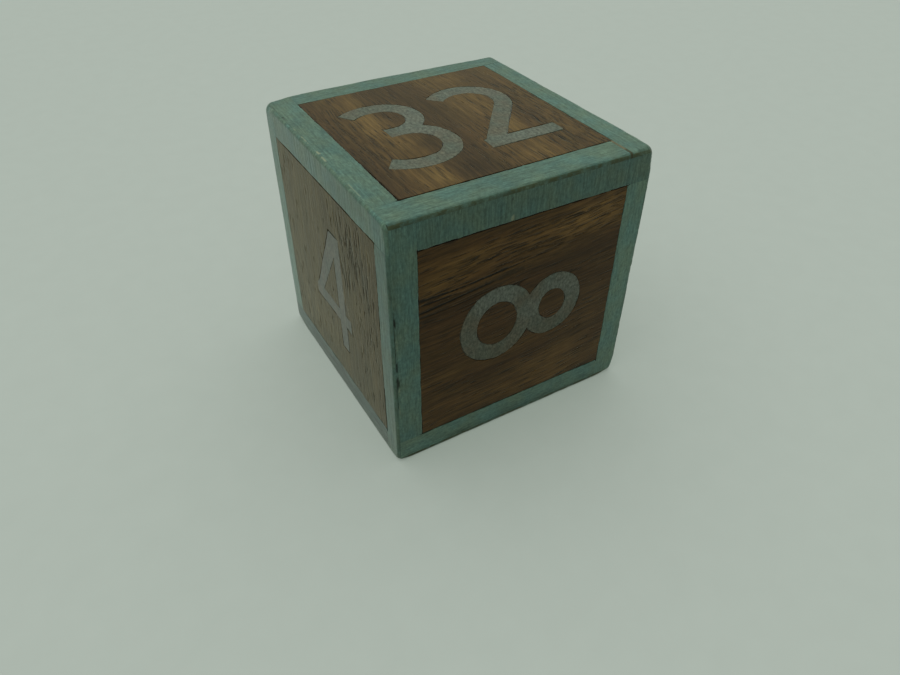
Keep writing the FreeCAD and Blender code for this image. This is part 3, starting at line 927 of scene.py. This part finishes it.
        stain_and_reflection_tint=(1.13, 1.01, 0.95), contrast=1.1,
    ),
    "2": dict(
        upright=False, slope=-0.05,
        bands=[(-12.5, 0.1), (-8, 0.3), (-4, 0.5), (0, 0.85), (4, 0.5), (8, 0.25), (12.5, 0.45)],
        pores=[(2, 0, 6, 12, 110, 2.2, 0.05), (0, 0, 12, 12, 110, 1.2, 0.045)],
        crossed=(),
        gaps=[Gap((-5, 12), (12, 12), 0.04)],
        marks={},
        patches=[Patch(4, 1, 6, 2, 0.25), Patch(-6, -8, 5, 2, -0.12)],
        hues=[Patch(0, 4, 4, 4, 0.35)],
        dyes_and_painted_light=[Patch(-13.4, 2, 1.4, 4, 0.1)],
        strips={"bottom": 0.05}, ends=0.6, stain_and_reflection_tint=(1.05, 0.99, 0.96), contrast=1.0,
    ),
}

TEAL = teal("teal_veneer")
GREY = grey("grey_veneer")


def face_of(node):
    """The number of the face that a veneer node is on."""
    words = node.split("_")
    return words[3] if words[0] in ("digit", "counter") else words[1]


def build_face(number, seed):
    """Every veneer piece of a face."""
    side, plan = SIDES[number], FACES[number]
    patches = plan["patches"]
    grain = Grain(plan["upright"], plan["slope"], seed=seed)
    joints = Joints(flat_box(f"panel_{number}", side), plan["gaps"])
    wood = walnut(f"walnut_{number}", plan["bands"], rgb(*plan["stain_and_reflection_tint"]), plan["contrast"])
    pores = Pores(plan["pores"], seed)
    steps = WALNUT_STEPS if plan["upright"] else WALNUT_STEPS[::-1]
    tag = seed * 100
    for node in sorted(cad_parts):
        if face_of(node) != number:
            continue
        kind, marks = node.split("_")[0], plan["marks"].get(node, ())
        tag += 7
        name = node + "_veneer"
        if kind in ("panel", "counter"):
            relief = walnut_relief(pores, marks)
            skin = Skin(side, face_outline(node, side), joints, grain, relief, tag, steps)
            piece(name, skin, wood, node, patches)
        elif kind == "digit":
            relief = dyed_relief(fibre_depth=0.003, marks=marks)
            run = Grain(True, seed=tag)
            skin = Skin(side, face_outline(node, side), joints, run, relief, tag, level=DYED_LEVEL)
            piece(name, skin, GREY, node, plan["hues"], (tag * 1.7, tag * 0.9, 0))
        else:
            edge = node.split("_")[2]
            crossed = edge in plan["crossed"]
            run = Grain((edge in ("left", "right")) != crossed, wave=0.1, seed=tag)
            relief = dyed_relief(fibre_depth=0.009 if crossed else 0.005, marks=marks)
            skin = Skin(side, box_outline(node, side), joints, run, relief, tag, level=DYED_LEVEL)
            skin.layers["end"] *= plan["ends"]
            tone = plan["strips"].get(edge, 0.0)
            piece(name, skin, TEAL, node, plan["dyes_and_painted_light"], (tag * 2.3, tag * 1.1, 0), tone)


for seed, number in enumerate(FACES, 1):
    build_face(number, seed)


def build_filler():
    """The putty at the end of the short strip, a little sunken."""
    top = SIDES["32"]
    joints = Joints(flat_box("panel_32", top), ())
    relief = dyed_relief(fibre_depth=0.012, marks=())
    skin = Skin(top, box_outline("joint_filler", top), joints, Grain(True, wave=0.0), relief,
                seed=5, steps=(0.05, 0.1), level=PUTTY_LEVEL)
    piece("joint_filler_putty", skin, putty("wood_filler"), "joint_filler", ())


build_filler()


def dress(node, material):
    """Gives a CAD node that shows as it is its material."""
    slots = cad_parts[node].data.materials
    slots.clear()
    slots.append(material)


dress("core_block", plain_wood("core_wood", rgb(0.45, 0.32, 0.2), rgb(0.35, 0.24, 0.15), (0.5, 4, 4)))


# Floor, light and camera.

def build_floor():
    mesh = bpy.data.meshes.new("floor")
    reach = 4.0
    mesh.from_pydata([(-reach, -reach, 0), (reach, -reach, 0), (reach, reach, 0), (-reach, reach, 0)], [],
                     [(0, 1, 2, 3)])
    floor = bpy.data.objects.new("floor", mesh)
    bpy.context.scene.collection.objects.link(floor)
    graph = Graph(bpy.data.materials.new("pale_floor"))
    mottle = graph.noise(graph.add("TexCoord", output=3), (300.0, 300.0, 300.0), 2)
    colour = graph.mix(mottle, rgb(0.26, 0.26, 0.26), rgb(0.28, 0.28, 0.28))
    mesh.materials.append(graph.surface(colour, 0.9, mottle, 0.02, **{
        "Specular IOR Level": 0.0, "Emission Color": rgb(0.165, 0.201, 0.168), "Emission Strength": 1.0}))


def build_sky():
    """A soft light from high up and all round, dimmer from the front right."""
    world = bpy.data.worlds.new("studio")
    graph = Graph(world)
    direction = graph.add("TexCoord")

    def towards(heading, low, high, to_low, to_high):
        along = graph.add("VectorMath", {0: direction, 1: heading}, output=1, operation="DOT_PRODUCT")
        return graph.add("MapRange", {"Value": along, "From Min": low, "From Max": high, "To Min": to_low,
                                      "To Max": to_high}, interpolation_type="SMOOTHSTEP")

    overhead = towards((0.0, 0.0, 1.0), 0.3, 0.9, 0.3, 1.9)
    shade = towards((0.35, -0.94, 0.0), -0.1, 0.5, 1.0, 0.4)
    strength = graph.math("MULTIPLY", overhead, shade)
    light = graph.add("Background", {"Color": rgb(0.92, 1.0, 0.92), "Strength": strength})
    graph.add("OutputWorld", {"Surface": light})
    bpy.context.scene.world = world


def build_camera():
    side = 2 * HALF * MM
    place = Vector((-1.2176, -2.0654, 2.0545)) * side   # in sides of the cube, from its foot
    aim = Vector((-0.1138, -0.2081, 0.2208)) * side
    camera = bpy.data.cameras.new("camera")
    camera.lens, camera.sensor_width = 28.915, 36.0
    camera.clip_start = 0.001
    eye = bpy.data.objects.new("camera", camera)
    turn = (aim - place).to_track_quat("-Z", "Y")
    roll = Matrix.Rotation(math.radians(0.43), 4, "Z")
    eye.matrix_world = Matrix.Translation(place) @ turn.to_matrix().to_4x4() @ roll
    bpy.context.scene.collection.objects.link(eye)
    bpy.context.scene.camera = eye


build_floor()
build_sky()
build_camera()
bpy.context.scene.view_settings.view_transform = "Standard"
